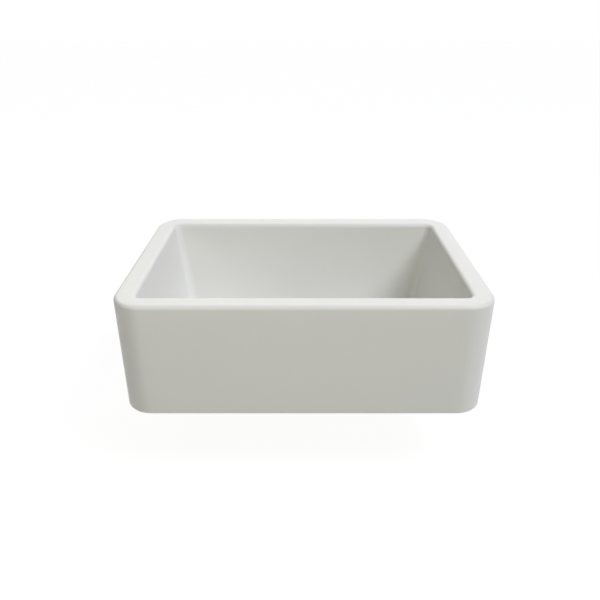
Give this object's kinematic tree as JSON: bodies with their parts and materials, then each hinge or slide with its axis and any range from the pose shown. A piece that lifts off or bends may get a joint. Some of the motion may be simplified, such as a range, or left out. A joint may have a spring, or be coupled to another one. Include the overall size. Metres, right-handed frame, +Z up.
{
  "type": "apron front kitchen sink",
  "caption": "Single bowl apron front kitchen sink of white fireclay with rounded corners, a rear set basket strainer drain and a tailpiece.",
  "frame": {"origin": "centre of the flat underside of the basin, on the face that rests on the support", "axes": "+Z up, -Y out of the apron's front face, +X to the right seen from the front"},
  "size_m": [0.762, 0.532, 0.4219],
  "materials": {
    "glazed_fireclay": "white satin glaze over fireclay",
    "foam_gasket": "closed cell sealing foam",
    "strainer_steel": "pressed stainless steel, satin",
    "basket_steel": "perforated stainless steel, polished",
    "turned_steel": "turned stainless steel",
    "spring_steel": "dark spring steel",
    "black_rubber": "moulded black rubber",
    "pressed_fibre": "pressed brown fibre board",
    "cast_zinc": "die cast zinc, as cast",
    "white_nylon": "moulded nylon",
    "chromed_tube": "chrome plated brass tube",
    "brass_fitting": "machined brass"
  },
  "bodies": {
    "sink": {"sink_basin": "glazed_fireclay", "flange_gasket": "foam_gasket", "strainer_body": "strainer_steel", "outlet_cross": "strainer_steel", "under_gasket": "black_rubber", "friction_ring": "pressed_fibre", "locknut": "cast_zinc", "tailpiece_washer": "white_nylon", "tailpiece": "chromed_tube", "coupling_nut": "brass_fitting"},
    "basket": {"basket_cup": "basket_steel", "basket_hub": "brass_fitting", "hub_clip": "spring_steel", "hub_o_ring": "black_rubber"},
    "plunger": {"stem": "turned_steel", "knob": "turned_steel", "stopper_plate": "turned_steel", "stopper_seal": "black_rubber", "seal_washer": "turned_steel", "stem_nut": "brass_fitting"}
  },
  "joints": [
    {"name": "basket_lift", "type": "slide", "parent": "sink", "child": "basket", "axis": [0, 0, 1], "range_m": [0, 0.31]},
    {"name": "stopper_pull", "type": "slide", "parent": "basket", "child": "plunger", "axis": [0, 0, 1], "range_m": [0, 0.008]}
  ]
}
